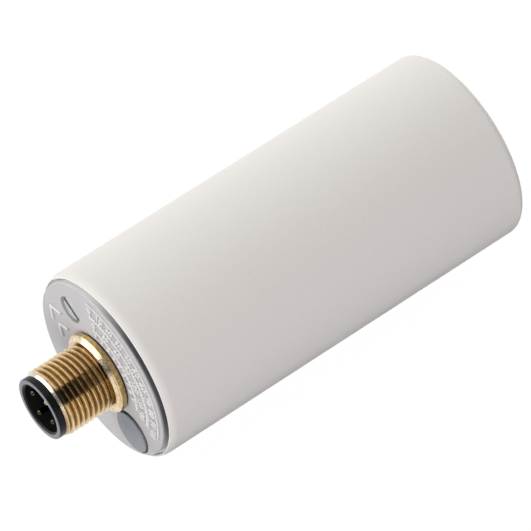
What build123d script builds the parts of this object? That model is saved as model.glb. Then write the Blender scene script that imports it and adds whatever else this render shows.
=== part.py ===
"""Capacitive proximity sensor: smooth barrel, end cap with adjuster and indicator, round plug connector.

The sensor's axis is the X axis. The sensing face is at X = 0 and looks along +X, and the connector points
along -X. A "depth" is a distance in millimetres behind the sensing face, so it lies at X = -depth.
"""
import os
from math import cos, radians, sin, sqrt

from build123d import *

# Barrel
BARREL_D = 34.0
BARREL_LENGTH = 73.25
SIDE_WALL = 2.1
FRONT_WALL = 1.6
FAR_EDGE_RADIUS = 1.2
RIM_ROUND_LENGTH = 1.4
RIM_LAND = 0.25

# End cap
CAP_PROUD = 0.95
CAP_GAP = 0.45
SEAT_WALL = 0.55
CAP_PLATE = 2.5
CAP_EDGE_RADIUS = 0.35
CAP_SEAL_THICKNESS = 0.5
CAP_SEAL_LIP = 1.0
SKIRT_LENGTH = 7.0
SKIRT_WALL = 1.5
STOP_WIDTH = 2.0
STOP_REACH = 1.0
STOP_ANGLES = (60.0, 120.0, 240.0, 300.0)

# Connector sleeve with an M12 x 1 outside thread
THREAD_D = 12.0
THREAD_PITCH = 1.0
THREAD_DEPTH = 0.6134
THREAD_CREST_WIDTH = 0.14
THREAD_ROOT_WIDTH = 0.08
THREAD_SUNK = 0.15
THREAD_LENGTH = 9.05
RELIEF_LENGTH = 0.8
LEAD_IN_LENGTH = 0.85
LEAD_IN_DEPTH = 0.7
LEAD_IN_BLANK = 0.95
LEAD_IN_RISE = 0.3
FLANGE_WIDTH = 1.2
FLANGE_THICKNESS = 1.2
FLANGE_CHAMFER = 0.2
SHOULDER_SETBACK = 0.4
SHOULDER_LENGTH = 0.45
SHOULDER_FALL = 0.45
GASKET_THICKNESS = 0.2
GASKET_INSET = 0.2
SHELL_WALL = 1.05
NUT_WALL = 1.07
NUT_THICKNESS = 2.4
NUT_SLOT_WIDTH = 1.8
NUT_SLOT_DEPTH = 0.8
NUT_SLOT_PAIRS = 2
NUT_SLOT_ANGLE = 45.0
SHELL_TAIL = 0.8

# Contact carrier and contacts
COLLAR_INSET = 0.45
COLLAR_LENGTH = 1.25
COLLAR_EDGE_RADIUS = 0.2
CAVITY_WALL = 0.5
CAVITY_DEPTH = 8.5
CAVITY_CHAMFER = 0.35
KEY_WIDTH = 1.1
KEY_HEIGHT = 0.6
CARRIER_TAIL = 0.6
CARRIER_SEAL_DIAMETER = 0.86
CARRIER_SEAL_GROOVE = 1.2
CARRIER_SEAL_SETBACK = 1.2
PIN_D = 1.0
PIN_SPACING = 4.0
PIN_RECESS = 0.4
PIN_COUNT = 4
FIRST_PIN_ANGLE = 112.0
SOLDER_TAIL = 0.8

# Sensitivity adjuster
ADJUSTER_ANGLE = 43.8
RECESS_D = 5.0
RECESS_DEPTH = 1.2
SCREW_HEAD_D = 4.3
SCREW_SUNK = 0.25
SCREW_SHAFT_D = 2.4
SCREW_SLOT_WIDTH = 0.9
SCREW_SLOT_DEPTH = 0.6
SCREW_SLOT_ANGLE = 28.0
SCREW_CHAMFER = 0.15
SCREW_FOOT = 2.6
TRIMMER_D = 4.0
SHAFT_SEAL_D = 4.0
SHAFT_SEAL_THICKNESS = 0.7

# Indicator
LENS_SETBACK = 0.4
LENS_ANGLE = 226.5
LENS_INNER_GAP = 0.2
LENS_PROUD = 0.35
LENS_EDGE_RADIUS = 0.2
LENS_FLANGE = 1.5
LENS_STEP = 1.0
LENS_SEAL_WIDTH = 0.3
LED_OFFSET = 1.5
LED_D = 3.0
LED_DOME_RADIUS = 1.2
LED_BASE_D = 3.8
LED_BASE_THICKNESS = 1.0
LED_LEAD_D = 0.5
LED_LEAD_SPACING = 2.0
LED_TO_LENS = 0.3

# Boards and the frame that holds them
BOARD_THICKNESS = 1.6
HEADER_PITCH = 2.0
HEADER_PIN_D = 0.6
HEADER_BEND_RADIUS = 0.6
HEADER_PINS = 4
HEADER_SIDE_GAP = 0.2
HEADER_HEIGHT = 2.4
HEADER_LENGTH = 2.5
FRAME_RING_LENGTH = 3.6
FRAME_RING_WALL = 2.1
RAIL_HEIGHT = 4.0
RAIL_WIDTH = 2.3
RAIL_GRIP = 1.4
MAIN_BOARD_SETBACK = 1.6
MAIN_BOARD_END_GAP = 4.0

# Sensing end
ELECTRODE_THICKNESS = 0.3
GUARD_SETBACK = 1.6
GUARD_WIDTH = 3.2
GUARD_GAP = 1.5
SPACER_THICKNESS = 4.5
SHIELD_WALL = 0.4
SHIELD_LENGTH = 22.5
LEAD_D = 0.8
LEAD_GRIP = 4.0
GUARD_LEAD_GAP = 0.6

# Component packages on the main board: length, width, height
CHIP_PACKAGE = (5.0, 4.0, 1.7)
POWER_PACKAGE = (6.5, 3.6, 1.8)
REGULATOR_PACKAGE = (4.6, 4.0, 1.6)
CHOKE_BLOCK = (5.0, 5.0, 3.0)
DIODE_BLOCK = (4.6, 2.7, 2.3)
CERAMIC_BLOCK = (2.0, 1.3, 0.9)
RESISTOR_BLOCK = (2.0, 1.3, 0.5)
CHIP_LEG_COUNT = 4
POWER_LEG_COUNT = 3

# Component places: package, distance from the board's rear end, Y, legs a side
TOP_COMPONENTS = {
    "oscillator_chip": (CHIP_PACKAGE, 37.1, 0.0, CHIP_LEG_COUNT),
    "comparator_chip": (CHIP_PACKAGE, 26.1, -4.0, CHIP_LEG_COUNT),
    "output_transistor": (POWER_PACKAGE, 9.1, -6.0, POWER_LEG_COUNT),
    "filter_choke": (CHOKE_BLOCK, 9.1, 6.0, 0),
    "tuning_capacitor": (CERAMIC_BLOCK, 37.1, 7.0, 0),
    "coupling_capacitor": (CERAMIC_BLOCK, 31.6, 0.0, 0),
}
UNDERSIDE_COMPONENTS = {
    "voltage_regulator": (REGULATOR_PACKAGE, 11.1, 0.0, POWER_LEG_COUNT),
    "protection_diode": (DIODE_BLOCK, 5.1, -8.0, 0),
}
RESISTOR_COUNT = 4
RESISTOR_PITCH = 4.0
LAST_RESISTOR_SETBACK = 27.1
RESISTOR_Y = -5.0
CAN_SETBACK = 18.1
CAN_Y = 5.5
CAN_D = 6.3
CAN_HEIGHT = 5.4
CAN_EDGE_RADIUS = 0.3
LEG_PITCH = 1.27
LEG_WIDTH = 0.4
LEG_REACH = 1.0
LEG_THICKNESS = 0.2
CHIP_CHAMFER = 0.15

# Clearances
SLIP = 0.1
SNUG = 0.03
TURNING = 0.05

# Solids that stand on their own end plane
UPRIGHT = (Align.CENTER, Align.CENTER, Align.MIN)

# Radii and depths that follow from the sizes above
barrel_r = BARREL_D / 2
bore_r = barrel_r - SIDE_WALL
seat_r = barrel_r - SEAT_WALL
cap_r = seat_r - CAP_GAP
skirt_r = bore_r - SLIP
skirt_inner_r = skirt_r - SKIRT_WALL
cap_face = BARREL_LENGTH + CAP_PROUD
cap_back = cap_face - CAP_PLATE
seat_floor = cap_back - CAP_SEAL_THICKNESS
skirt_end = cap_back - SKIRT_LENGTH

thread_r = THREAD_D / 2
root_r = thread_r - THREAD_DEPTH
lead_in_r = thread_r - LEAD_IN_DEPTH
flange_r = thread_r + FLANGE_WIDTH
shoulder_r = flange_r - SHOULDER_SETBACK
shell_bore_r = thread_r - SHELL_WALL
nut_bore_r = thread_r + SNUG
nut_r = nut_bore_r + NUT_WALL
collar_r = thread_r - COLLAR_INSET
carrier_r = shell_bore_r - TURNING
cavity_r = carrier_r - CAVITY_WALL
flange_back = cap_face + GASKET_THICKNESS
flange_front = flange_back + FLANGE_THICKNESS
thread_start = flange_front + RELIEF_LENGTH
shell_front = thread_start + THREAD_LENGTH
nut_front = cap_back - NUT_THICKNESS
shell_back = nut_front - SHELL_TAIL
connector_front = shell_front + COLLAR_LENGTH
cavity_floor = connector_front - CAVITY_DEPTH
carrier_back = shell_back - CARRIER_TAIL
pin_circle_r = PIN_SPACING / sqrt(2)
pin_tip = connector_front - PIN_RECESS

adjuster_radius = skirt_inner_r - TRIMMER_D / 2 - SLIP
lens_outer = cap_r - LENS_SETBACK - LENS_SEAL_WIDTH
lens_inner = flange_r + LENS_INNER_GAP + LENS_SEAL_WIDTH
lens_r = (lens_outer - lens_inner) / 2
lens_stem_r = lens_r - LENS_STEP
lens_radius = lens_inner + lens_r
led_radius = lens_radius - LED_OFFSET

rear_board_back = skirt_end + BOARD_THICKNESS
rear_board_front = skirt_end
rear_board_r = skirt_inner_r - SLIP

guard_outer_r = bore_r - SLIP - GUARD_SETBACK
guard_inner_r = guard_outer_r - GUARD_WIDTH
electrode_r = guard_inner_r - GUARD_GAP
electrode_back = FRONT_WALL + ELECTRODE_THICKNESS
electrode_board_back = electrode_back + BOARD_THICKNESS
spacer_back = electrode_board_back + SPACER_THICKNESS
shield_r = bore_r - SLIP
shield_inner_r = shield_r - SHIELD_WALL
frame_front_r = shield_inner_r - SLIP
frame_rear_r = bore_r - SLIP
board_top = BOARD_THICKNESS / 2
rail_inner = frame_front_r - RAIL_WIDTH
slot_r = rail_inner + RAIL_GRIP
main_board_half_width = slot_r - SNUG
main_board_front = spacer_back + MAIN_BOARD_SETBACK
main_board_back = rear_board_front - MAIN_BOARD_END_GAP
header_front = main_board_back - HEADER_LENGTH
header_width = HEADER_PITCH * HEADER_PINS
header_middle_y = rail_inner - HEADER_SIDE_GAP - header_width / 2
seal_middle_r = shell_bore_r - SNUG - CARRIER_SEAL_DIAMETER / 2


def polar(radius, angle):
    """Y and Z of a point at this radius and angle, seen from the connector end with +Y as zero."""
    return radius * cos(radians(angle)), radius * sin(radians(angle))


def row(first, pitch, count, height):
    """Places of a straight row of pins along Y, all at one height."""
    return [(first + pitch * number, height) for number in range(count)]


def section(depth, place=(0, 0)):
    """Plane across the sensor: its own x is Y, its own y is Z and it looks along +X."""
    return Plane(origin=(-depth, place[0], place[1]), x_dir=(0, 1, 0), z_dir=(1, 0, 0))


def rod(back, front, radius, place=(0, 0)):
    """Round bar along the sensor between two depths."""
    return section(back, place) * Cylinder(radius, back - front, align=UPRIGHT)


def ring(back, front, outer, inner, place=(0, 0)):
    """Round bar with a hole through it."""
    return rod(back, front, outer, place) - rod(back, front, inner, place)


def bar(back, front, width, height, place=(0, 0), angle=0):
    """Rectangular bar along the sensor, turned by an angle about its own middle."""
    return section(back, place) * Rot(0, 0, angle) * Box(width, height, back - front, align=UPRIGHT)


def outer_edges_at(shape, depth, radius, place=(0, 0)):
    """Round edges of this radius that lie across the sensor at this depth."""
    found = []
    for edge in shape.edges().filter_by(GeomType.CIRCLE):
        middle = edge.arc_center
        near = abs(middle.X + depth) < 1e-4 and abs(edge.radius - radius) < 1e-4
        if near and abs(middle.Y - place[0]) < 1e-4 and abs(middle.Z - place[1]) < 1e-4:
            found.append(edge)
    return found


def save(shape, name):
    """Write one sub-part as its own file."""
    export_step(shape, os.path.join("parts", name + ".step"))


adjuster = polar(adjuster_radius, ADJUSTER_ANGLE)
lens = polar(lens_radius, LENS_ANGLE)
led = polar(led_radius, LENS_ANGLE)
led_leads = [(led[0] + side * LED_LEAD_SPACING / 2, led[1]) for side in (-1, 1)]
pin_places = [polar(pin_circle_r, FIRST_PIN_ANGLE + number * 360 / PIN_COUNT) for number in range(PIN_COUNT)]
first_header_y = header_middle_y - (header_width - HEADER_PITCH) / 2
header_places = row(first_header_y, HEADER_PITCH, HEADER_PINS, board_top + HEADER_HEIGHT / 2)
lead_height = board_top + LEAD_D / 2 + SNUG
guard_lead_y = rail_inner - GUARD_LEAD_GAP - LEAD_D / 2
lead_places = {"electrode_lead": (0, lead_height), "guard_lead": (guard_lead_y, lead_height)}

os.makedirs("parts", exist_ok=True)


def make_barrel():
    """Closed at the sensing face, open behind, with a stepped seat for the cap and a soft outer rim."""
    rim_start = BARREL_LENGTH - RIM_ROUND_LENGTH
    rim_r = seat_r + RIM_LAND
    outline = [
        Line((0, 0), (0, barrel_r)),
        Line((0, barrel_r), (-rim_start, barrel_r)),
        TangentArc((-rim_start, barrel_r), (-BARREL_LENGTH, rim_r), tangent=(-1, 0)),
        Line((-BARREL_LENGTH, rim_r), (-BARREL_LENGTH, seat_r)),
        Line((-BARREL_LENGTH, seat_r), (-seat_floor, seat_r)),
        Line((-seat_floor, seat_r), (-seat_floor, bore_r)),
        Line((-seat_floor, bore_r), (-FRONT_WALL, bore_r)),
        Line((-FRONT_WALL, bore_r), (-FRONT_WALL, 0)),
        Line((-FRONT_WALL, 0), (0, 0)),
    ]
    barrel = revolve(make_face(Wire(outline)), Axis.X)
    return fillet(outer_edges_at(barrel, 0, barrel_r), FAR_EDGE_RADIUS)


def make_end_cap():
    """Round plate with a skirt, holes for the connector, the adjuster and the indicator, and board stops."""
    plate = rod(cap_face, cap_back, cap_r)
    plate = fillet(outer_edges_at(plate, cap_face, cap_r), CAP_EDGE_RADIUS)
    cap = plate + ring(cap_back, skirt_end, skirt_r, skirt_inner_r)
    for from_adjuster in STOP_ANGLES:
        angle = ADJUSTER_ANGLE + from_adjuster
        middle = polar(skirt_inner_r, angle)
        stop = bar(cap_back, rear_board_back, 2 * STOP_REACH, STOP_WIDTH, middle, angle)
        cap += stop & rod(cap_back, rear_board_back, skirt_inner_r + SNUG)
    cap -= rod(cap_face, cap_back, thread_r + SLIP)
    cap -= rod(cap_face, cap_face - RECESS_DEPTH, RECESS_D / 2, adjuster)
    cap -= rod(cap_face, cap_back, SCREW_SHAFT_D / 2 + TURNING, adjuster)
    cap -= rod(cap_back + SHAFT_SEAL_THICKNESS, cap_back, SHAFT_SEAL_D / 2, adjuster)
    cap -= rod(cap_face, cap_face - LENS_FLANGE, lens_r + LENS_SEAL_WIDTH, lens)
    cap -= rod(cap_face, cap_back, lens_stem_r + SNUG, lens)
    return cap


def make_cap_seal():
    """Soft ring between the cap and the step inside the barrel, with a lip in the gap round the cap."""
    outer = seat_r - SNUG
    foot = ring(cap_back, seat_floor, outer, bore_r)
    return foot + ring(cap_back + CAP_SEAL_LIP, cap_back, outer, cap_r + SNUG)


def make_thread_ridge(front, back):
    """Helical ridge of the outside thread, a turn longer at each end than the threaded length."""
    length = front - back + 2 * THREAD_PITCH
    middle = (-front - THREAD_PITCH, 0, 0)
    helix = Helix(THREAD_PITCH, length, root_r, center=middle, direction=(1, 0, 0))
    begin = helix @ 0
    outward = Vector(0, begin.Y, begin.Z).normalized()
    foot = (THREAD_PITCH - THREAD_ROOT_WIDTH) / 2
    crest = THREAD_CREST_WIDTH / 2
    profile = Plane(origin=begin, x_dir=outward, z_dir=helix % 0) * make_face(Polyline(
        (-THREAD_SUNK, -foot), (THREAD_DEPTH, -crest), (THREAD_DEPTH, crest), (-THREAD_SUNK, foot),
        close=True))
    return sweep(profile, path=helix, is_frenet=True)


def make_connector_shell():
    """Brass sleeve: chamfered helical thread, relief, sloped shoulder, flange and a tail for the nut."""
    sleeve = rod(shell_front, flange_front, root_r)
    sleeve += section(shell_front) * Cone(thread_r + LEAD_IN_RISE, root_r, LEAD_IN_BLANK, align=UPRIGHT)
    sleeve += make_thread_ridge(shell_front, thread_start) & rod(shell_front, thread_start, THREAD_D)
    far_r = lead_in_r + LEAD_IN_DEPTH / LEAD_IN_LENGTH * THREAD_LENGTH
    cone = section(shell_front) * Cone(lead_in_r, far_r, THREAD_LENGTH, align=UPRIGHT)
    sleeve -= rod(shell_front, thread_start, THREAD_D) - cone
    flange = rod(flange_front, flange_back, flange_r)
    flange = chamfer(flange.edges().filter_by(GeomType.CIRCLE), FLANGE_CHAMFER)
    slope_front = section(flange_front + SHOULDER_LENGTH)
    slope = slope_front * Cone(shoulder_r - SHOULDER_FALL, shoulder_r, SHOULDER_LENGTH, align=UPRIGHT)
    sleeve += slope + flange + rod(flange_back, shell_back, thread_r)
    return sleeve - rod(shell_front, shell_back, shell_bore_r)


def make_connector_gasket():
    """Flat rubber ring between the flange and the cap."""
    return ring(flange_back, cap_face, flange_r - GASKET_INSET, thread_r + SLIP)


def make_lock_nut():
    """Round slotted nut behind the cap, drawn with a plain bore over the sleeve's tail."""
    nut = ring(cap_back, nut_front, nut_r, nut_bore_r)
    for pair in range(NUT_SLOT_PAIRS):
        angle = ADJUSTER_ANGLE + NUT_SLOT_ANGLE + pair * 180 / NUT_SLOT_PAIRS
        nut -= bar(nut_front + NUT_SLOT_DEPTH, nut_front, 2 * nut_r + SLIP, NUT_SLOT_WIDTH, angle=angle)
    return nut


def make_contact_carrier():
    """Black insert: collar in front of the sleeve, open cavity with a coding key, base with pin holes."""
    collar = rod(connector_front, shell_front, collar_r)
    carrier = collar + rod(shell_front, carrier_back, carrier_r)
    carrier = fillet(outer_edges_at(carrier, connector_front, collar_r), COLLAR_EDGE_RADIUS)
    carrier -= rod(connector_front, cavity_floor, cavity_r)
    carrier = chamfer(outer_edges_at(carrier, connector_front, cavity_r), CAVITY_CHAMFER)
    key_angle = FIRST_PIN_ANGLE + 180 / PIN_COUNT
    key = bar(connector_front - PIN_RECESS, cavity_floor, 2 * KEY_HEIGHT, KEY_WIDTH,
              polar(cavity_r, key_angle), key_angle)
    carrier += key & rod(connector_front, cavity_floor, cavity_r + SNUG)
    groove_back = cavity_floor - CARRIER_SEAL_SETBACK
    floor_r = seal_middle_r - CARRIER_SEAL_DIAMETER / 2 - SNUG
    carrier -= ring(groove_back, groove_back - CARRIER_SEAL_GROOVE, shell_bore_r, floor_r)
    for middle in pin_places:
        carrier -= rod(cavity_floor, carrier_back, PIN_D / 2 + SNUG, middle)
    return carrier


def make_carrier_seal():
    """Rubber ring between the insert and the sleeve's bore."""
    middle = cavity_floor - CARRIER_SEAL_SETBACK - CARRIER_SEAL_GROOVE / 2
    return section(middle) * Torus(seal_middle_r, CARRIER_SEAL_DIAMETER / 2)


def make_contact_pin(middle):
    """Round contact with a domed tip, from inside the cavity to its solder tail at the rear board."""
    dome_foot = pin_tip - PIN_D / 2
    pin = rod(dome_foot, rear_board_front - SOLDER_TAIL, PIN_D / 2, middle)
    return pin + section(dome_foot, middle) * Sphere(PIN_D / 2)


def make_screw():
    """Adjusting screw: slotted head in its recess and a shaft that turns in the cap and the trimmer."""
    head_front = cap_face - SCREW_SUNK
    head_back = cap_face - RECESS_DEPTH + TURNING
    screw = rod(head_front, head_back, SCREW_HEAD_D / 2, adjuster)
    screw = chamfer(outer_edges_at(screw, head_front, SCREW_HEAD_D / 2, adjuster), SCREW_CHAMFER)
    screw += rod(head_back, cap_back - SCREW_FOOT, SCREW_SHAFT_D / 2, adjuster)
    return screw - bar(head_front, head_front - SCREW_SLOT_DEPTH, SCREW_HEAD_D + SLIP, SCREW_SLOT_WIDTH,
                       adjuster, SCREW_SLOT_ANGLE)


def make_shaft_seal():
    """Rubber ring round the adjuster's shaft, in its pocket at the back of the cap."""
    outer = SHAFT_SEAL_D / 2 - SNUG
    return ring(cap_back + SHAFT_SEAL_THICKNESS, cap_back, outer, SCREW_SHAFT_D / 2 + TURNING, adjuster)


def make_trimmer():
    """Potentiometer body between the cap and the rear board, with the hole that the shaft turns in."""
    body = rod(cap_back, rear_board_back, TRIMMER_D / 2, adjuster)
    return body - rod(cap_back, cap_back - SCREW_FOOT - SLIP, SCREW_SHAFT_D / 2 + TURNING, adjuster)


def make_lens():
    """Indicator window: a flange that stands a little out of the cap and a stem through it."""
    front = cap_face + LENS_PROUD
    lens_body = rod(front, cap_face - LENS_FLANGE, lens_r, lens)
    lens_body = fillet(outer_edges_at(lens_body, front, lens_r, lens), LENS_EDGE_RADIUS)
    return lens_body + rod(cap_face - LENS_FLANGE, cap_back, lens_stem_r, lens)


def make_lens_seal():
    """Black ring round the window, level with the cap's face."""
    outer = lens_r + LENS_SEAL_WIDTH - SNUG
    return ring(cap_face, cap_face - LENS_FLANGE, outer, lens_r + SNUG, lens)


def make_led():
    """Round light-emitting diode on the rear board, close behind the window, with its two leads."""
    tip = cap_back - LED_TO_LENS
    dome = rod(tip, rear_board_back, LED_D / 2, led)
    dome = fillet(outer_edges_at(dome, tip, LED_D / 2, led), LED_DOME_RADIUS)
    diode = dome + rod(rear_board_back + LED_BASE_THICKNESS, rear_board_back, LED_BASE_D / 2, led)
    for middle in led_leads:
        diode += rod(rear_board_back, rear_board_front - SOLDER_TAIL, LED_LEAD_D / 2, middle)
    return diode


def make_rear_board():
    """Round board behind the cap, drilled for the contacts, the diode's leads and the header pins."""
    board = rod(rear_board_back, rear_board_front, rear_board_r)
    for middle in pin_places:
        board -= rod(rear_board_back, rear_board_front, PIN_D / 2 + SNUG, middle)
    for middle in led_leads:
        board -= rod(rear_board_back, rear_board_front, LED_LEAD_D / 2 + SNUG, middle)
    for middle in header_places:
        board -= rod(rear_board_back, rear_board_front, HEADER_PIN_D / 2 + SNUG, middle)
    return board


def make_header():
    """Plastic block of the right-angle header at the rear end of the main board."""
    middle = (header_middle_y, board_top + HEADER_HEIGHT / 2)
    block = bar(main_board_back, header_front, header_width, HEADER_HEIGHT, middle)
    for place in header_places:
        block -= rod(main_board_back, header_front, HEADER_PIN_D / 2 + SNUG, place)
    return block


def make_header_pin(place):
    """Round pin with one bend: through the rear board and the block, then down to the main board."""
    start = rear_board_back + SOLDER_TAIL
    elbow = HEADER_PIN_D - header_front
    route = FilletPolyline((-start, *place), (elbow, *place), (elbow, place[0], board_top),
                           radius=HEADER_BEND_RADIUS)
    return sweep(section(start, place) * Circle(HEADER_PIN_D / 2), path=route)


def make_main_board():
    """Long board on the sensor's axis, held by its edges."""
    return bar(main_board_back, main_board_front, 2 * main_board_half_width, BOARD_THICKNESS)


def make_board_carrier():
    """Moulded frame: a ring at each end and two rails whose slots hold the main board."""
    rear_ring_front = rear_board_front - FRAME_RING_LENGTH
    front_ring_back = spacer_back + FRAME_RING_LENGTH
    frame = ring(rear_board_front, rear_ring_front, frame_rear_r, frame_rear_r - FRAME_RING_WALL)
    frame += ring(front_ring_back, spacer_back, frame_front_r, frame_front_r - FRAME_RING_WALL)
    envelope = rod(rear_board_front, spacer_back, frame_front_r)
    for side in (-1, 1):
        middle = (side * (frame_front_r - RAIL_WIDTH / 2), 0)
        rail = bar(rear_board_front, spacer_back, RAIL_WIDTH, RAIL_HEIGHT, middle)
        frame += rail & envelope
    slot_height = BOARD_THICKNESS + 2 * SNUG
    return frame - bar(rear_board_front, main_board_front - SNUG, 2 * slot_r, slot_height)


def make_shield():
    """Thin metal sleeve round the electronics next to the electrodes."""
    return ring(electrode_board_back + SHIELD_LENGTH, electrode_board_back, shield_r, shield_inner_r)


def make_electrode_board():
    """Round insulating board behind the electrodes, with a hole for each lead."""
    board = rod(electrode_board_back, electrode_back, shield_r)
    for middle in lead_places.values():
        board -= rod(electrode_board_back, electrode_back, LEAD_D / 2 + SNUG, middle)
    return board


def make_front_spacer():
    """Foam disc that presses the electrode board on the front wall."""
    spacer = rod(spacer_back, electrode_board_back, frame_front_r)
    for middle in lead_places.values():
        spacer -= rod(spacer_back, electrode_board_back, LEAD_D / 2 + SLIP, middle)
    return spacer


def make_lead(middle):
    """Stiff wire from the back of an electrode to the top of the main board."""
    return rod(main_board_front + LEAD_GRIP, electrode_back, LEAD_D / 2, middle)


def make_component(package, setback, y, legs, side):
    """Rectangular component on the board's top (side 1) or underside (side -1), with its legs if any."""
    length, width, height = package
    centre = main_board_back - setback
    stand = LEG_THICKNESS if legs else 0
    middle = (y, side * (board_top + stand + (height - stand) / 2))
    chip = bar(centre + length / 2, centre - length / 2, width, height - stand, middle)
    chip = chamfer(chip.edges().filter_by(Axis.Z), CHIP_CHAMFER)
    for leg in range(legs):
        along = centre + (leg - (legs - 1) / 2) * LEG_PITCH
        foot_z = side * (board_top + LEG_THICKNESS / 2)
        riser_z = side * (board_top + height / 4)
        for way in (-1, 1):
            foot_y = y + way * (width / 2 + LEG_REACH / 2)
            riser_y = y + way * (width / 2 + LEG_THICKNESS / 2)
            front = along - LEG_WIDTH / 2
            chip += bar(front + LEG_WIDTH, front, LEG_REACH, LEG_THICKNESS, (foot_y, foot_z))
            chip += bar(front + LEG_WIDTH, front, LEG_THICKNESS, height / 2, (riser_y, riser_z))
    return chip


def make_smoothing_capacitor():
    """Round can standing on the main board."""
    place = Pos(CAN_SETBACK - main_board_back, CAN_Y, board_top)
    can = place * Cylinder(CAN_D / 2, CAN_HEIGHT, align=UPRIGHT)
    return fillet(can.edges().sort_by(Axis.Z)[-1], CAN_EDGE_RADIUS)


def main():
    """Make every sub-part and write it."""
    save(make_barrel(), "barrel_housing")
    save(make_end_cap(), "end_cap")
    save(make_cap_seal(), "cap_seal_ring")
    save(make_connector_shell(), "connector_shell")
    save(make_connector_gasket(), "connector_gasket")
    save(make_lock_nut(), "connector_lock_nut")
    save(make_contact_carrier(), "contact_carrier")
    save(make_carrier_seal(), "carrier_seal")
    for number, middle in enumerate(pin_places, 1):
        save(make_contact_pin(middle), f"contact_pin_{number}")
    save(make_screw(), "sensitivity_screw")
    save(make_shaft_seal(), "screw_seal")
    save(make_trimmer(), "potentiometer_body")
    save(make_lens(), "indicator_lens")
    save(make_lens_seal(), "lens_seal")
    save(make_led(), "indicator_led")
    save(make_rear_board(), "rear_board")
    save(make_header(), "board_header")
    for number, place in enumerate(header_places, 1):
        save(make_header_pin(place), f"header_pin_{number}")
    save(make_main_board(), "main_board")
    save(make_board_carrier(), "board_carrier")
    save(make_shield(), "shield_sleeve")
    save(make_electrode_board(), "electrode_board")
    save(rod(electrode_back, FRONT_WALL, electrode_r), "sensing_electrode")
    save(ring(electrode_back, FRONT_WALL, guard_outer_r, guard_inner_r), "guard_electrode")
    save(make_front_spacer(), "front_spacer")
    for name, middle in lead_places.items():
        save(make_lead(middle), name)
    for name, sizes in TOP_COMPONENTS.items():
        save(make_component(*sizes, side=1), name)
    for name, sizes in UNDERSIDE_COMPONENTS.items():
        save(make_component(*sizes, side=-1), name)
    for number in range(RESISTOR_COUNT):
        setback = LAST_RESISTOR_SETBACK + (RESISTOR_COUNT - 1 - number) * RESISTOR_PITCH
        resistor = make_component(RESISTOR_BLOCK, setback, RESISTOR_Y, legs=0, side=-1)
        save(resistor, f"chip_resistor_{number + 1}")
    save(make_smoothing_capacitor(), "smoothing_capacitor")


main()
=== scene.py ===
"""Capacitive sensor lying on a pale table: its finishes, the raised marks on its cap, light and camera.

Everything is in metres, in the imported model's own frame. The sensor's axis is the X axis, the sensing
face is at X = 0 and the connector points along -X. An "angle" round the axis goes from +Y towards +Z.
"""

import math

import bmesh
import bpy
from mathutils import Matrix, Vector


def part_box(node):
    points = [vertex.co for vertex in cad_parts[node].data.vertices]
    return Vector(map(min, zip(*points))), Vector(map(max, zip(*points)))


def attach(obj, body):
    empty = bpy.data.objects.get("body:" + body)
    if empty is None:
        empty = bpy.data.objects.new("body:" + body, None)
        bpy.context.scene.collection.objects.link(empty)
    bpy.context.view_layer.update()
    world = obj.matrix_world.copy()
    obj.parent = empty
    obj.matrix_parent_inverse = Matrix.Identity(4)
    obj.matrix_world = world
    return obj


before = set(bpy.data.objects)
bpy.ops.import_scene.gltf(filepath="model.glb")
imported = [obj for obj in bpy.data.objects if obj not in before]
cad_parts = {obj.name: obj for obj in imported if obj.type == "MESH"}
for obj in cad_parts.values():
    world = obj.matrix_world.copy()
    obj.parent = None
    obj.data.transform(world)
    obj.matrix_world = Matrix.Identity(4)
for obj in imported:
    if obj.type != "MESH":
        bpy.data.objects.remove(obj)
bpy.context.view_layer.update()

MM = 0.001
BODY = "sensor_body"
WHITE = (1.0, 1.0, 1.0)
TOWARDS_PLUG = Vector((-1.0, 0.0, 0.0))

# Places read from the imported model
BARREL_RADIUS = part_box("barrel_housing")[1].z
CAP_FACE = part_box("end_cap")[0].x
CAP_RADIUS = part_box("end_cap")[1].z
PLUG_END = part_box("contact_carrier")[0].x
FLOOR_HEIGHT = -BARREL_RADIUS

# Camera
CAMERA_TARGET = Vector((-40.8, 0.02, 0.11)) * MM
CAMERA_AZIMUTH = math.radians(-38.16)
CAMERA_ELEVATION = math.radians(54.0)
CAMERA_DISTANCE = 0.8801
CAMERA_LENS = 367.0
CAMERA_SENSOR = 36.0
CAMERA_REACH = 20.0

# Sides of the sensor: where painted shade darkens the wall round the cap and its seal, with painted light on
# the opposite side, and where painted shade darkens the barrel's underside and the brass's painted highlight
# fades
PAINTED_SHADE_ANGLE = math.radians(145.0)
UNDERSIDE_ANGLE = math.radians(235.0)

# Spans over which a finish changes, as cosines of the angle from the middle of such a side
PAINTED_SHADE_EDGE = (0.35, 0.95)
UNDERSIDE_SHADE_EDGE = (0.66, 0.92)
HIGHLIGHT_FADE_EDGE = (-0.3, 0.3)

# The same along the axis, from the plug towards the sensing face
COLLAR_FRONT = (PLUG_END, PLUG_END + 0.12 * MM)
# Where the painted highlight on the lead-in ends, and where that on the shoulder begins and ends
LEAD_IN_BACK = (PLUG_END + 1.85 * MM, PLUG_END + 2.15 * MM)
SHOULDER_FRONT = (CAP_FACE - 1.82 * MM, CAP_FACE - 1.70 * MM)
SHOULDER_BACK = (CAP_FACE - 1.45 * MM, CAP_FACE - 1.38 * MM)
FLANGE_FRONT = (CAP_FACE - 1.34 * MM, CAP_FACE - 1.22 * MM)
MARK_SIDE = (CAP_FACE - 0.18 * MM, CAP_FACE - 0.05 * MM)
CAP_WALL = (CAP_FACE + 0.05 * MM, CAP_FACE + 0.60 * MM)

# The same outwards from the axis, and for the contacts upwards from it
BARREL_SKIN = (BARREL_RADIUS - 1.5 * MM, BARREL_RADIUS - 0.2 * MM)
CAP_SKIN = (CAP_RADIUS - 0.20 * MM, CAP_RADIUS - 0.02 * MM)
# Outwards over which the painted shade in the thread's roots fades
THREAD_FLANK = (5.45 * MM, 5.94 * MM)
COLLAR_EDGE = (4.2 * MM, 4.5 * MM)
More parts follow.
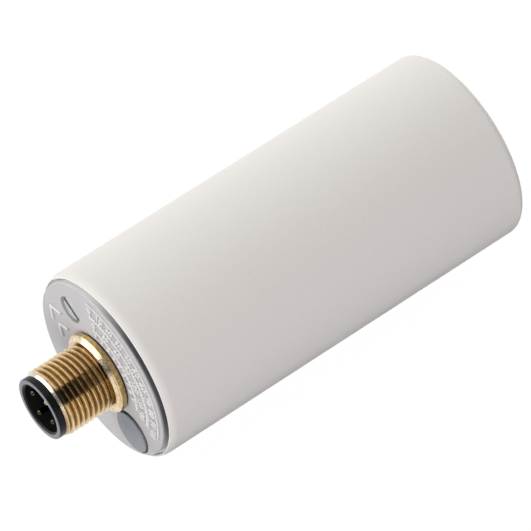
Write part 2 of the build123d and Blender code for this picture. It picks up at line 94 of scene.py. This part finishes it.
# Outwards over which the painted shade on the window fades
WINDOW_SHADE_SPAN = (9.0 * MM, 15.5 * MM)
# Upwards over which the painted shade on the contacts fades
CONTACT_SHADE_SPAN = (1.4 * MM, 2.3 * MM)

# How much of such a change shows where it is strongest, and how far noise shifts the edge of the painted
# shade on the underside
UNDERSIDE_SHADE_SHARE = 0.35
UNDERSIDE_SHADE_WANDER = 0.06
RUBBED_SHARE = 0.85
COLLAR_PALE_SHARE = 0.8
LOW_SIDE_HIGHLIGHT_SHARE = 0.15
WINDOW_SHADE_SHARE = 0.8

# Noise: the values it mostly lies between, those of the window's clouds, and how a seed moves the pattern
NOISE_SPAN = (0.3, 0.7)
CLOUD_SPAN = (0.3, 1.5)
SEED_STEP = (1.0, 0.37, 0.61)

# Patches of gloss as a share of the patches of colour, and how far tool lines stray as a share of their pitch
GLOSS_PATCH = 0.6
TOOL_WANDER = 0.8

# Sockets that a Mix node uses for colours
MIX_FACTOR, MIX_LOW, MIX_HIGH, MIX_RESULT = 0, 6, 7, 2

# Raised marks on the cap
MARK_HEIGHT = 0.28 * MM
MARK_SINK = 0.05 * MM
MARK_TOP = 0.6
LINE_WIDTH = 0.50 * MM
FINE_WIDTH = 0.28 * MM
SHARPEST_LEAN = 0.5
DIGIT_RATIO = 0.70
DIGIT_WEIGHT = 0.02 * MM
DIGIT_STEPS = 3

# Rows of plain numbers: base radius, digit height, first angle, step, first number, step, count
NUMBER_ROWS = (
    (13.30 * MM, 1.30 * MM, 79.0, 10.9, 0, 10, 11),
    (10.35 * MM, 1.15 * MM, 82.0, 16.4, 0, 30, 7),
    (8.10 * MM, 1.05 * MM, 84.0, 10.6, 1, 1, 9),
)
# Rows of ticks: inner radius, outer radius, first angle, step, count, and each which tick is a long one
TICK_ROWS = (
    (12.25 * MM, 12.75 * MM, 79.0, 2.725, 41, 4),
    (9.55 * MM, 9.90 * MM, 82.0, 4.1, 25, 4),
)
LONG_TICK = 1.45
# Thin arcs: radius, first angle, last angle
ARCS = (
    (12.15 * MM, 78.0, 189.0),
    (15.05 * MM, 76.0, 190.0),
    (9.45 * MM, 80.0, 182.0),
)
ARC_STEP = 3.0
# Direction marks beside the adjuster: radius and angle of the tip, where it points, length of a side
CHEVRONS = (
    (13.75 * MM, 14.0, 32.0, 2.9 * MM),
    (11.15 * MM, 3.5, 24.0, 2.6 * MM),
)
CHEVRON_SPREAD = 47.0

# Floor: its paint, the white glow that the camera sees over it, and the glow's share
FLOOR_HALF_WIDTH = 3.0
FLOOR_TONES = ((0.27, 0.27, 0.28), (0.30, 0.30, 0.31))
FLOOR_GLOW = 1.14
FLOOR_SHARE = 0.86

# Even light from all round
SKY_STRENGTH = 0.225
SKY_COLOUR = (1.0, 0.945, 0.865)

# Dark card curved over the camera's side of the table
FLAG_RADIUS = 0.62
FLAG_ANGLES = (94.0, 154.0)
FLAG_HALF_LENGTH = 0.9
FLAG_STEPS = 24

# Dark cards ahead of the plug: one on the table, which widens with its distance, and one upright at its end
CARD_START = -0.105
CARD_END = -0.80
CARD_SPREAD = (-0.17, 0.23)
UPRIGHT_SPREAD = (-0.42, 0.23)
UPRIGHT_HEIGHT = 0.34
CARD_LIFT = 0.5 * MM

# Soft lamps: one behind the connector, which the metal mirrors, and one on each of three other sides
LAMP_DISTANCE = 1.5
LEVEL = Vector((-0.55, 0.83, 0.0))
SLOPING = Vector((-0.36, -0.76, 0.54))
# Name, direction, way of the first side, lengths of the sides, power, colour, and whether metal mirrors it
LAMPS = (
    ("key", Vector((-0.66, 0.62, 0.42)), SLOPING, (2.0, 0.75), 15.5, (0.985, 1.0, 1.0), True),
    ("near", Vector((-0.83, -0.52, 0.19)), LEVEL, (1.7, 1.1), 27.8, (1.0, 0.980, 0.990), False),
    ("far", Vector((0.60, 0.68, 0.42)), LEVEL, (1.3, 1.3), 15.6, (1.0, 0.995, 0.98), False),
    ("end", Vector((0.985, -0.12, 0.07)), LEVEL, (1.0, 0.28), 8.0, (1.0, 0.98, 0.96), False),
)


def back_vector(azimuth, elevation):
    """The unit vector from the object towards a viewer; azimuth 0 looks along +Y."""
    return Vector((
        math.sin(azimuth) * math.cos(elevation),
        -math.cos(azimuth) * math.cos(elevation),
        math.sin(elevation),
    ))


def round_axis(angle_degrees):
    """The unit vector square to the sensor's axis at an angle round it."""
    angle = math.radians(angle_degrees)
    return Vector((0.0, math.cos(angle), math.sin(angle)))


def link(thing):
    """Puts a new object into the scene."""
    bpy.context.scene.collection.objects.link(thing)
    return thing


def mesh_object(name, mesh, material):
    """Makes an object from a mesh, with one material."""
    mesh.materials.append(material)
    return link(bpy.data.objects.new(name, mesh))


class Nodes:
    """A node tree, with short calls for what the finishes and the studio light share."""

    def __init__(self, tree):
        self.tree = tree
        self.tree.nodes.clear()

    def add(self, kind):
        """A new node."""
        return self.tree.nodes.new(kind)

    def feed(self, value, target):
        """Joins a socket to the target, or sets the target to a plain number, vector or colour."""
        if isinstance(value, bpy.types.NodeSocket):
            self.tree.links.new(value, target)
        elif target.type == "RGBA":
            target.default_value = (*value, 1.0)
        else:
            target.default_value = value

    def math(self, operation, *values):
        """The result of a sum on sockets or plain numbers."""
        node = self.add("ShaderNodeMath")
        node.operation = operation
        for value, socket in zip(values, node.inputs):
            self.feed(value, socket)
        return node.outputs[0]

    def lit(self, kind, colour, strength):
        """The output of a node that gives off light."""
        node = self.add(kind)
        self.feed(colour, node.inputs["Color"])
        self.feed(strength, node.inputs["Strength"])
        return node.outputs[0]

    def mixed(self, factor, first, second):
        """The output of two shaders mixed, all of it the second one where the factor is 1."""
        node = self.add("ShaderNodeMixShader")
        for value, socket in zip((factor, first, second), node.inputs):
            self.feed(value, socket)
        return node.outputs[0]

    def seen(self):
        """1 for what the camera sees, straight, mirrored or through glass, and 0 for what only lights."""
        path = self.add("ShaderNodeLightPath").outputs
        straight_or_mirrored = self.math("MAXIMUM", path["Is Camera Ray"], path["Is Glossy Ray"])
        return self.math("MAXIMUM", straight_or_mirrored, path["Is Transmission Ray"])


class Finish(Nodes):
    """A material, with short calls for its patterns, colours and relief."""

    def __init__(self, name, kind="ShaderNodeBsdfPrincipled"):
        self.material = bpy.data.materials.new(name)
        self.material.use_nodes = True
        super().__init__(self.material.node_tree)
        self.surface = self.add("ShaderNodeOutputMaterial").inputs["Surface"]
        self.shader = self.add(kind)
        self.feed(self.shader.outputs[0], self.surface)
        self.place = self.add("ShaderNodeTexCoord").outputs["Object"]
        self.relief = None
        self.plain = None

    def set(self, **values):
        """Sets the shader's own sockets."""
        for name, value in values.items():
            self.feed(value, self.shader.inputs[name.replace("_", " ")])

    def ramp(self, value, low, high, start, end):
        """Maps value from low..high to start..end, smoothly and clamped."""
        node = self.add("ShaderNodeMapRange")
        node.interpolation_type = "SMOOTHSTEP"
        for amount, socket in zip((value, low, high, start, end), node.inputs):
            self.feed(amount, socket)
        return node.outputs[0]

    def vary(self, noise, start, end):
        """A number that runs from start to end with the noise."""
        return self.ramp(noise, *NOISE_SPAN, start, end)

    def noise(self, size, detail=3.0, roughness=0.55, stretch=(1.0, 1.0, 1.0), seed=0.0):
        """Noise from 0 to 1 whose features measure about `size` metres."""
        mapping = self.add("ShaderNodeMapping")
        mapping.inputs["Scale"].default_value = stretch
        mapping.inputs["Location"].default_value = [step * seed for step in SEED_STEP]
        self.feed(self.place, mapping.inputs["Vector"])
        node = self.add("ShaderNodeTexNoise")
        node.inputs["Scale"].default_value = 1.0 / size
        node.inputs["Detail"].default_value = detail
        node.inputs["Roughness"].default_value = roughness
        self.feed(mapping.outputs["Vector"], node.inputs["Vector"])
        return node.outputs["Fac"]

    def blend(self, factor, low, high):
        """A colour between two colours."""
        node = self.add("ShaderNodeMix")
        node.data_type = "RGBA"
        self.feed(factor, node.inputs[MIX_FACTOR])
        self.feed(low, node.inputs[MIX_LOW])
        self.feed(high, node.inputs[MIX_HIGH])
        return node.outputs[MIX_RESULT]

    def tint(self, colour, noise, start, end):
        """The colour times a number that runs from start to end with the noise."""
        node = self.add("ShaderNodeVectorMath")
        node.operation = "SCALE"
        self.feed(colour, node.inputs[0])
        self.feed(self.vary(noise, start, end), node.inputs["Scale"])
        return node.outputs[0]

    def bump(self, height, distance, strength=1.0):
        """Adds a height field, `distance` metres from its lowest to its highest, to the surface."""
        node = self.add("ShaderNodeBump")
        node.inputs["Strength"].default_value = strength
        node.inputs["Distance"].default_value = distance
        self.feed(height, node.inputs["Height"])
        if self.relief is not None:
            self.feed(self.relief, node.inputs["Normal"])
        self.relief = node.outputs["Normal"]
        self.set(Normal=self.relief)

    def split(self):
        """Sockets of the place's X, Y and Z."""
        node = self.add("ShaderNodeSeparateXYZ")
        self.feed(self.place, node.inputs[0])
        return node.outputs

    def axis(self):
        """Sockets of the place along the axis, the distance from it and the angle round it."""
        along, across, up = self.split()
        squares = [self.math("MULTIPLY", socket, socket) for socket in (across, up)]
        radius = self.math("SQRT", self.math("ADD", *squares))
        return along, radius, self.math("ARCTAN2", up, across)

    def facing(self, angle, middle):
        """The cosine of the angle from the middle of a side: 1 there and -1 on the side opposite."""
        return self.math("COSINE", self.math("SUBTRACT", angle, middle))

    def painted_shade_side(self, angle):
        """1 on the side of the axis that is painted in shade, 0 on the opposite side."""
        return self.ramp(self.facing(angle, PAINTED_SHADE_ANGLE), *PAINTED_SHADE_EDGE, 0.0, 1.0)

    def turned_lines(self, pitch, distance):
        """Fine tool lines round the axis, on walls and on faces square to it."""
        along, radius, _ = self.axis()
        wander = self.math("MULTIPLY", self.noise(3 * MM, detail=2.0), pitch * TOOL_WANDER)
        place = self.math("ADD", self.math("ADD", along, radius), wander)
        self.bump(self.math("SINE", self.math("MULTIPLY", place, math.tau / pitch)), distance)


def housing_plastic():
    """Off-white satin plastic with a fine moulded grain, with painted shade darkening it along its underside.
    """
    finish = Finish("housing_plastic")
    _, radius, angle = finish.axis()
    broad = finish.noise(28 * MM, detail=2.0, stretch=(0.4, 1.0, 1.0))
    fine = finish.noise(0.35 * MM, detail=2.0, seed=3.0)
    plain_tone = finish.blend(broad, (0.766, 0.742, 0.724), (0.792, 0.776, 0.766))
    # Painted shade along the underside, its edge made uneven by the broad noise
    uneven = finish.math("MULTIPLY", broad, UNDERSIDE_SHADE_WANDER)
    below = finish.math("ADD", finish.facing(angle, UNDERSIDE_ANGLE), uneven)
    underside_shade = finish.ramp(below, *UNDERSIDE_SHADE_EDGE, 0.0, UNDERSIDE_SHADE_SHARE)
    wall = finish.ramp(radius, *BARREL_SKIN, 0.0, 1.0)
    shaded = finish.blend(finish.math("MULTIPLY", underside_shade, wall), plain_tone, (0.34, 0.33, 0.335))
    finish.set(
        Base_Color=finish.tint(shaded, fine, 0.985, 1.012),
        Roughness=finish.vary(finish.noise(6 * MM, seed=7.0), 0.46, 0.56),
        Specular_IOR_Level=0.05,
    )
    finish.bump(finish.noise(0.22 * MM, detail=3.0, seed=1.0), 0.006 * MM)
    finish.bump(finish.noise(9 * MM, detail=1.0, seed=5.0), 0.05 * MM, 0.4)
    return finish.material


def cap_plastic():
    """Light grey moulded plastic: paler on raised marks, and its side wall pale with painted light on one
    side and dark with painted shade on the other.
    """
    finish = Finish("cap_plastic")
    along, radius, angle = finish.axis()
    mottle = finish.noise(4 * MM, detail=4.0, seed=2.0)
    face = finish.blend(mottle, (0.408, 0.404, 0.416), (0.452, 0.446, 0.457))
    raised = finish.ramp(along, *MARK_SIDE, RUBBED_SHARE, 0.0)
    rubbed = finish.blend(raised, face, (0.78, 0.77, 0.76))
    down = finish.ramp(along, *CAP_WALL, 0.0, 1.0)
    side = finish.ramp(radius, *CAP_SKIN, 0.0, 1.0)
    # The side wall: painted light on one side of the axis and painted shade on the other
    wall = finish.blend(finish.painted_shade_side(angle), (0.72, 0.715, 0.71), (0.075, 0.073, 0.080))
    finish.set(
        Base_Color=finish.blend(finish.math("MULTIPLY", down, side), rubbed, wall),
        Roughness=finish.vary(finish.noise(2.5 * MM, seed=4.0), 0.38, 0.50),
        Specular_IOR_Level=0.35,
    )
    finish.bump(finish.noise(0.30 * MM, detail=3.0, seed=6.0), 0.010 * MM)
    finish.bump(finish.noise(3.5 * MM, detail=2.0, seed=8.0), 0.04 * MM, 0.5)
    return finish.material


def brass():
    """Turned brass: darker towards the thread's roots, a painted shade there; paler on the lead-in and the
    shoulder, a painted highlight kept mostly to their upper side; deeper on the flange.
    """
    finish = Finish("brass")
    along, radius, angle = finish.axis()
    # Darker towards the thread's roots: painted shade in them
    crest = finish.ramp(radius, *THREAD_FLANK, 0.0, 1.0)
    thread = finish.blend(crest, (0.38, 0.24, 0.095), (0.80, 0.61, 0.36))
    # A painted highlight: paler colour on the lead-in and the shoulder, kept mostly to their upper side
    lead_in = finish.ramp(along, *LEAD_IN_BACK, 1.0, 0.0)
    past_front = finish.ramp(along, *SHOULDER_FRONT, 0.0, 1.0)
    before_back = finish.ramp(along, *SHOULDER_BACK, 1.0, 0.0)
    cut = finish.math("MAXIMUM", lead_in, finish.math("MULTIPLY", past_front, before_back))
    highlight_side = finish.ramp(finish.facing(angle, UNDERSIDE_ANGLE), *HIGHLIGHT_FADE_EDGE, 1.0, LOW_SIDE_HIGHLIGHT_SHARE)
    pale = finish.blend(finish.math("MULTIPLY", cut, highlight_side), thread, (0.82, 0.71, 0.56))
    flange = finish.math("MULTIPLY", finish.ramp(along, *FLANGE_FRONT, 0.0, 1.0), crest)
    metal = finish.blend(flange, pale, (0.64, 0.46, 0.21))
    stain = finish.noise(0.9 * MM, detail=5.0, roughness=0.65, seed=2.0)
    finish.set(
        Base_Color=finish.tint(metal, stain, 0.78, 1.10),
        Metallic=1.0,
        Roughness=finish.vary(finish.noise(0.6 * MM, seed=5.0), 0.09, 0.17),
    )
    finish.turned_lines(0.09 * MM, 0.0012 * MM)
    finish.bump(finish.noise(0.7 * MM, detail=3.0, seed=9.0), 0.025 * MM, 0.8)
    return finish.material


def gold_contacts():
    """Gold plating over turned pins, with painted shade darkening the pins low down so that only the
    uppermost keeps its gold colour.
    """
    finish = Finish("gold_contacts")
    bright = finish.ramp(finish.split()["Z"], *CONTACT_SHADE_SPAN, 0.0, 1.0)
    # Painted shade: near black on the lower pins, gold on the uppermost
    plated_and_shaded = finish.blend(bright, (0.085, 0.070, 0.040), (0.70, 0.62, 0.38))
    finish.set(
        Base_Color=finish.tint(plated_and_shaded, finish.noise(0.5 * MM), 0.80, 1.05),
        Metallic=1.0,
        Roughness=finish.vary(finish.noise(0.3 * MM, seed=2.0), 0.12, 0.22),
    )
    finish.bump(finish.noise(0.12 * MM, seed=4.0), 0.002 * MM)
    return finish.material


def moulded(name, tones, roughness, grain, depth, patch=2.5 * MM):
    """Moulded material: two close tones in patches, kept as its plain colour, a grain and an uneven gloss."""
    finish = Finish(name)
    finish.plain = finish.blend(finish.noise(patch, detail=4.0), *tones)
    finish.set(
        Base_Color=finish.plain,
        Roughness=finish.vary(finish.noise(patch * GLOSS_PATCH, seed=3.0), *roughness),
    )
    finish.bump(finish.noise(grain, detail=3.0, seed=5.0), depth)
    return finish


def insert_plastic():
    """Black moulded contact carrier, paler grey at the front of its rim."""
    tones = ((0.006, 0.007, 0.006), (0.011, 0.012, 0.011))
    finish = moulded("insert_plastic", tones, (0.26, 0.36), 0.25 * MM, 0.006 * MM)
    along, radius, _ = finish.axis()
    front = finish.ramp(along, *COLLAR_FRONT, 1.0, 0.0)
    edge = finish.ramp(radius, *COLLAR_EDGE, 0.0, COLLAR_PALE_SHARE)
    rim = finish.math("MULTIPLY", front, edge)
    finish.set(Base_Color=finish.blend(rim, finish.plain, (0.22, 0.225, 0.25)), Specular_IOR_Level=0.14)
    return finish.material


def black_rubber():
    """Seals and gaskets."""
    tones = ((0.010, 0.010, 0.012), (0.020, 0.020, 0.022))
    return moulded("black_rubber", tones, (0.45, 0.62), 0.12 * MM, 0.008 * MM).material


def grey_silicone():
    """Soft pale lip seal round the cap, with painted shade darkening one side."""
    tones = ((0.70, 0.69, 0.68), (0.78, 0.77, 0.76))
    finish = moulded("grey_silicone", tones, (0.50, 0.65), 0.15 * MM, 0.006 * MM)
    _, _, angle = finish.axis()
    # Painted shade on one side of the seal
    finish.set(Base_Color=finish.blend(finish.painted_shade_side(angle), finish.plain, (0.10, 0.098, 0.105)))
    return finish.material


def screw_steel():
    """Turned steel of the adjuster, with brushed lines across its head."""
    finish = Finish("screw_steel")
    lines = finish.noise(0.25 * MM, detail=2.0, stretch=(1.0, 1.0, 0.12))
    finish.set(
        Base_Color=finish.tint((0.62, 0.62, 0.63), finish.noise(0.7 * MM), 0.90, 1.05),
        Metallic=1.0,
        Roughness=finish.vary(lines, 0.36, 0.50),
    )
    finish.bump(lines, 0.004 * MM)
    return finish.material


def lens_plastic():
    """Smoked blue-grey window, darker towards the axis and paler outwards: a painted shade across it."""
    finish = Finish("lens_plastic")
    _, radius, _ = finish.axis()
    # Painted shade: darker towards the axis, paler outwards
    outward = finish.ramp(radius, *WINDOW_SHADE_SPAN, 0.0, WINDOW_SHADE_SHARE)
    thin = finish.ramp(finish.math("ADD", outward, finish.noise(3 * MM)), *CLOUD_SPAN, 0.0, 1.0)
    finish.set(
        Base_Color=finish.blend(thin, (0.140, 0.152, 0.190), (0.240, 0.252, 0.290)),
        Roughness=finish.vary(finish.noise(1.2 * MM, seed=3.0), 0.14, 0.24),
        IOR=1.49,
        Transmission_Weight=0.25,
    )
    finish.bump(finish.noise(1.6 * MM, detail=1.0, seed=6.0), 0.01 * MM)
    return finish.material


def led_resin():
    """Tinted resin of the indicator lamp."""
    finish = Finish("led_resin")
    finish.set(
        Base_Color=finish.blend(finish.noise(1.5 * MM), (0.85, 0.50, 0.08), (0.95, 0.62, 0.15)),
        Roughness=finish.vary(finish.noise(0.8 * MM, seed=3.0), 0.10, 0.18),
        Transmission_Weight=0.5,
    )
    finish.bump(finish.noise(0.7 * MM, seed=6.0), 0.006 * MM)
    return finish.material


def circuit_board():
    """Green solder resist with a pattern of tracks under it."""
    finish = Finish("circuit_board")
    bricks = finish.add("ShaderNodeTexBrick")
    bricks.offset = 0.35
    bricks.inputs["Scale"].default_value = 1.0 / (6 * MM)
    bricks.inputs["Mortar Size"].default_value = 0.03
    bricks.inputs["Mortar Smooth"].default_value = 0.1
    finish.feed(finish.place, bricks.inputs["Vector"])
    tracks = bricks.outputs["Fac"]
    mottle = finish.noise(5 * MM, detail=3.0)
    resist = finish.blend(mottle, (0.018, 0.115, 0.045), (0.028, 0.150, 0.062))
    finish.set(
        Base_Color=finish.blend(tracks, resist, (0.07, 0.28, 0.11)),
        Roughness=finish.vary(mottle, 0.22, 0.34),
    )
    finish.bump(tracks, 0.03 * MM)
    finish.bump(finish.noise(0.3 * MM, seed=3.0), 0.004 * MM)
    return finish.material


def frame_plastic():
    """Natural-coloured carrier frame."""
    tones = ((0.60, 0.575, 0.51), (0.68, 0.655, 0.59))
    return moulded("frame_plastic", tones, (0.40, 0.52), 0.3 * MM, 0.010 * MM).material


def component_black():
    """Epoxy packages of the chips."""
    tones = ((0.016, 0.016, 0.017), (0.032, 0.032, 0.034))
    return moulded("component_black", tones, (0.48, 0.60), 0.10 * MM, 0.010 * MM).material


def component_ceramic():
    """Sintered ceramic in small uneven patches."""
    tones = ((0.36, 0.27, 0.18), (0.50, 0.40, 0.29))
    return moulded("component_ceramic", tones, (0.35, 0.50), 0.08 * MM, 0.008 * MM, 0.8 * MM).material


def capacitor_can():
    """Drawn aluminium can, brushed along its height."""
    finish = Finish("capacitor_can")
    lines = finish.noise(0.2 * MM, detail=2.0, stretch=(1.0, 1.0, 0.06))
    finish.set(
        Base_Color=finish.tint((0.76, 0.76, 0.78), finish.noise(2 * MM), 0.94, 1.04),
        Metallic=1.0,
        Roughness=finish.vary(lines, 0.24, 0.36),
    )
    finish.bump(lines, 0.003 * MM)
    return finish.material


def copper():
    """Copper sheet with patches of tarnish."""
    finish = Finish("copper")
    tarnish = finish.noise(3 * MM, detail=5.0, roughness=0.65)
    finish.set(
        Base_Color=finish.blend(tarnish, (0.50, 0.25, 0.13), (0.80, 0.46, 0.30)),
        Metallic=1.0,
        Roughness=finish.vary(tarnish, 0.42, 0.24),
    )
    finish.bump(finish.noise(0.4 * MM, stretch=(0.1, 1.0, 1.0), seed=3.0), 0.003 * MM)
    return finish.material


def foam():
    """Closed-cell foam with open pores at its cut faces."""
    finish = Finish("foam")
    cells = finish.add("ShaderNodeTexVoronoi")
    cells.inputs["Scale"].default_value = 1.0 / (0.45 * MM)
    finish.feed(finish.place, cells.inputs["Vector"])
    depth = cells.outputs["Distance"]
    finish.set(
        Base_Color=finish.blend(depth, (0.22, 0.22, 0.235), (0.40, 0.40, 0.42)),
        Roughness=finish.vary(finish.noise(1 * MM), 0.80, 0.95),
    )
    finish.bump(depth, 0.10 * MM, 0.7)
    return finish.material


def trimmer_plastic():
    """Blue moulded case of the potentiometer."""
    tones = ((0.045, 0.14, 0.42), (0.065, 0.18, 0.50))
    return moulded("trimmer_plastic", tones, (0.30, 0.42), 0.2 * MM, 0.008 * MM).material


def floor_paint():
    """Pale paint that lights and shades as paint does, and mostly glows white where it is seen."""
    finish = Finish("floor_paint", "ShaderNodeBsdfDiffuse")
    finish.set(Color=finish.blend(finish.noise(40 * MM, detail=2.0), *FLOOR_TONES))
    glow = finish.lit("ShaderNodeEmission", WHITE, FLOOR_GLOW)
    share = finish.math("MULTIPLY", finish.seen(), FLOOR_SHARE)
    finish.feed(finish.mixed(share, finish.shader.outputs[0], glow), finish.surface)
    return finish.material


def card_cloth():
    """Dark matt cloth of the cards."""
    finish = Finish("flag_cloth")
    finish.set(
        Base_Color=finish.blend(finish.noise(30 * MM), (0.030, 0.042, 0.075), (0.045, 0.060, 0.095)),
        Roughness=1.0,
        Specular_IOR_Level=0.0,
    )
    return finish.material


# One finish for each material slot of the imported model, named as the slot is
FINISHES = (
    housing_plastic, cap_plastic, brass, insert_plastic, gold_contacts, black_rubber, grey_silicone,
    screw_steel, lens_plastic, led_resin, circuit_board, frame_plastic, component_black,
    component_ceramic, capacitor_can, copper, foam, trimmer_plastic,
)


def dress_nodes():
    """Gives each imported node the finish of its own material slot."""
    materials = {make.__name__: make() for make in FINISHES}
    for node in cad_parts.values():
        for place in node.material_slots:
            place.material = materials[place.material.name.split(".")[0]]
    return materials


def cap_point(radius, angle):
    """A point on the cap's face."""
    return Vector((CAP_FACE, 0.0, 0.0)) + round_axis(angle) * radius


def raised_line(mesh, points, width):
    """Adds a closed ridge with sloped sides that follows points on the cap's face."""
    rings = []
    for number, point in enumerate(points):
        before = (point - points[max(number - 1, 0)]).normalized()
        after = (points[min(number + 1, len(points) - 1)] - point).normalized()
        way = (before + after).normalized()
        lean = max(way.dot(after), way.dot(before), SHARPEST_LEAN)
        across = way.cross(TOWARDS_PLUG) * (width / 2 / lean)
        low = point - TOWARDS_PLUG * MARK_SINK
        high = point + TOWARDS_PLUG * MARK_HEIGHT
        corners = (low - across, high - across * MARK_TOP, high + across * MARK_TOP, low + across)
        rings.append([mesh.verts.new(corner) for corner in corners])
    for ring, following in zip(rings, rings[1:]):
        for side in range(len(ring)):
            turn = (side + 1) % len(ring)
            mesh.faces.new((ring[side], ring[turn], following[turn], following[side]))
    mesh.faces.new(reversed(rings[0]))
    mesh.faces.new(rings[-1])


def add_number(mesh, text, height, radius, angle):
    """Adds a raised number that reads round the cap, its foot towards the axis."""
    data = bpy.data.curves.new("number", "FONT")
    data.body = text
    data.align_x = "CENTER"
    data.size = height / DIGIT_RATIO
    data.resolution_u = DIGIT_STEPS
    data.offset = DIGIT_WEIGHT
    data.extrude = (MARK_HEIGHT + MARK_SINK) / 2
    written = link(bpy.data.objects.new("number", data))
    outward = round_axis(angle)
    turn = Matrix((outward.cross(TOWARDS_PLUG), outward, TOWARDS_PLUG)).transposed().to_4x4()
    lift = TOWARDS_PLUG * (MARK_HEIGHT - MARK_SINK) / 2
    written.matrix_world = Matrix.Translation(cap_point(radius, angle) + lift) @ turn
    bpy.context.view_layer.update()
    solid = bpy.data.meshes.new_from_object(written.evaluated_get(bpy.context.evaluated_depsgraph_get()))
    solid.transform(written.matrix_world)
    mesh.from_mesh(solid)
    bpy.data.objects.remove(written)


def add_scale(material):
    """Raised marks on the cap: rows of plain numbers and ticks, thin arcs and two direction marks."""
    mesh = bmesh.new()
    for radius, height, angle, angle_step, number, number_step, count in NUMBER_ROWS:
        for place in range(count):
            text = str(number + place * number_step)
            add_number(mesh, text, height, radius, angle + place * angle_step)
    for inner, outer, angle, angle_step, count, long_each in TICK_ROWS:
        for place in range(count):
            reach = (outer - inner) * (1.0 if place % long_each else LONG_TICK)
            here = angle + place * angle_step
            raised_line(mesh, [cap_point(inner, here), cap_point(inner + reach, here)], FINE_WIDTH)
    for radius, first, last in ARCS:
        steps = round((last - first) / ARC_STEP)
        points = [cap_point(radius, first + (last - first) * step / steps) for step in range(steps + 1)]
        raised_line(mesh, points, FINE_WIDTH)
    for radius, angle, pointing, length in CHEVRONS:
        tip = cap_point(radius, angle)
        ends = [tip - round_axis(pointing + side * CHEVRON_SPREAD) * length for side in (-1, 1)]
        raised_line(mesh, [ends[0], tip, ends[1]], LINE_WIDTH)
    bmesh.ops.recalc_face_normals(mesh, faces=mesh.faces)
    data = bpy.data.meshes.new("cap_scale")
    mesh.to_mesh(data)
    mesh.free()
    marks = mesh_object("cap_scale", data, material)
    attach(marks, BODY)


def add_floor():
    """A pale floor that reads white to the camera and keeps a soft shadow."""
    mesh = bpy.data.meshes.new("floor")
    half = FLOOR_HALF_WIDTH
    corners = [(-half, -half), (half, -half), (half, half), (-half, half)]
    mesh.from_pydata([(x, y, FLOOR_HEIGHT) for x, y in corners], [], [(0, 1, 2, 3)])
    mesh_object("floor", mesh, floor_paint())


def add_world():
    """Even studio light, white where the camera, metal or glass sees it directly."""
    world = bpy.data.worlds.new("studio")
    bpy.context.scene.world = world
    world.use_nodes = True
    sky = Nodes(world.node_tree)
    light = sky.lit("ShaderNodeBackground", SKY_COLOUR, SKY_STRENGTH)
    white = sky.lit("ShaderNodeBackground", WHITE, 1.0)
    surface = sky.add("ShaderNodeOutputWorld").inputs["Surface"]
    sky.feed(sky.mixed(sky.seen(), light, white), surface)


def only_reflected(thing):
    """Keeps a card out of the camera's sight and out of the light, so that only gloss and metal show it."""
    thing.visible_camera = False
    thing.visible_diffuse = False
    thing.visible_shadow = False


def add_flag(cloth):
    """The card curved over the camera's side of the table, which the metal and the gloss reflect."""
    start, end = FLAG_ANGLES
    points = []
    for step in range(FLAG_STEPS + 1):
        place = round_axis(start + (end - start) * step / FLAG_STEPS) * FLAG_RADIUS
        for side in (-1.0, 1.0):
            points.append((side * FLAG_HALF_LENGTH, place.y, place.z))
    faces = [(2 * step, 2 * step + 1, 2 * step + 3, 2 * step + 2) for step in range(FLAG_STEPS)]
    mesh = bpy.data.meshes.new("flag")
    mesh.from_pydata(points, [], faces)
    only_reflected(mesh_object("flag", mesh, cloth))


def add_cards(cloth):
    """The cards ahead of the plug, which darken the near side of its thread, shoulder and lead-in."""
    low = FLOOR_HEIGHT + CARD_LIFT
    rows = (
        (CARD_START, low, CARD_SPREAD),
        (CARD_END, low, CARD_SPREAD),
        (CARD_END, low, UPRIGHT_SPREAD),
        (CARD_END, UPRIGHT_HEIGHT, UPRIGHT_SPREAD),
    )
    points = [(along, (CAP_FACE - along) * side, height) for along, height, spread in rows for side in spread]
    mesh = bpy.data.meshes.new("cards")
    mesh.from_pydata(points, [], [(0, 1, 3, 2), (4, 5, 7, 6)])
    only_reflected(mesh_object("cards", mesh, cloth))


def softbox(name, direction, long_side, size, power, colour, mirrored):
    """A rectangular soft lamp that looks at the origin, its first side as near as can be to long_side."""
    lamp = bpy.data.lights.new(name, "AREA")
    lamp.shape = "RECTANGLE"
    lamp.size, lamp.size_y = size
    lamp.energy = power
    lamp.color = colour
    thing = link(bpy.data.objects.new(name, lamp))
    back = direction.normalized()
    side = (long_side - back * long_side.dot(back)).normalized()
    turn = Matrix((side, back.cross(side), back)).transposed()
    thing.matrix_world = Matrix.Translation(back * LAMP_DISTANCE) @ turn.to_4x4()
    thing.visible_camera = False
    thing.visible_glossy = mirrored


def add_camera():
    """The camera at the photograph's viewing angle."""
    data = bpy.data.cameras.new("camera")
    data.lens = CAMERA_LENS
    data.sensor_width = CAMERA_SENSOR
    data.clip_end = CAMERA_REACH
    camera = link(bpy.data.objects.new("camera", data))
    back = back_vector(CAMERA_AZIMUTH, CAMERA_ELEVATION)
    right = Vector((math.cos(CAMERA_AZIMUTH), math.sin(CAMERA_AZIMUTH), 0.0))
    turn = Matrix((right, back.cross(right), back)).transposed()
    camera.matrix_world = Matrix.Translation(CAMERA_TARGET + back * CAMERA_DISTANCE) @ turn.to_4x4()
    bpy.context.scene.camera = camera


materials = dress_nodes()
add_scale(materials["cap_plastic"])
add_floor()
add_world()
cloth = card_cloth()
add_flag(cloth)
add_cards(cloth)
for lamp in LAMPS:
    softbox(*lamp)
add_camera()
bpy.context.scene.view_settings.view_transform = "Standard"
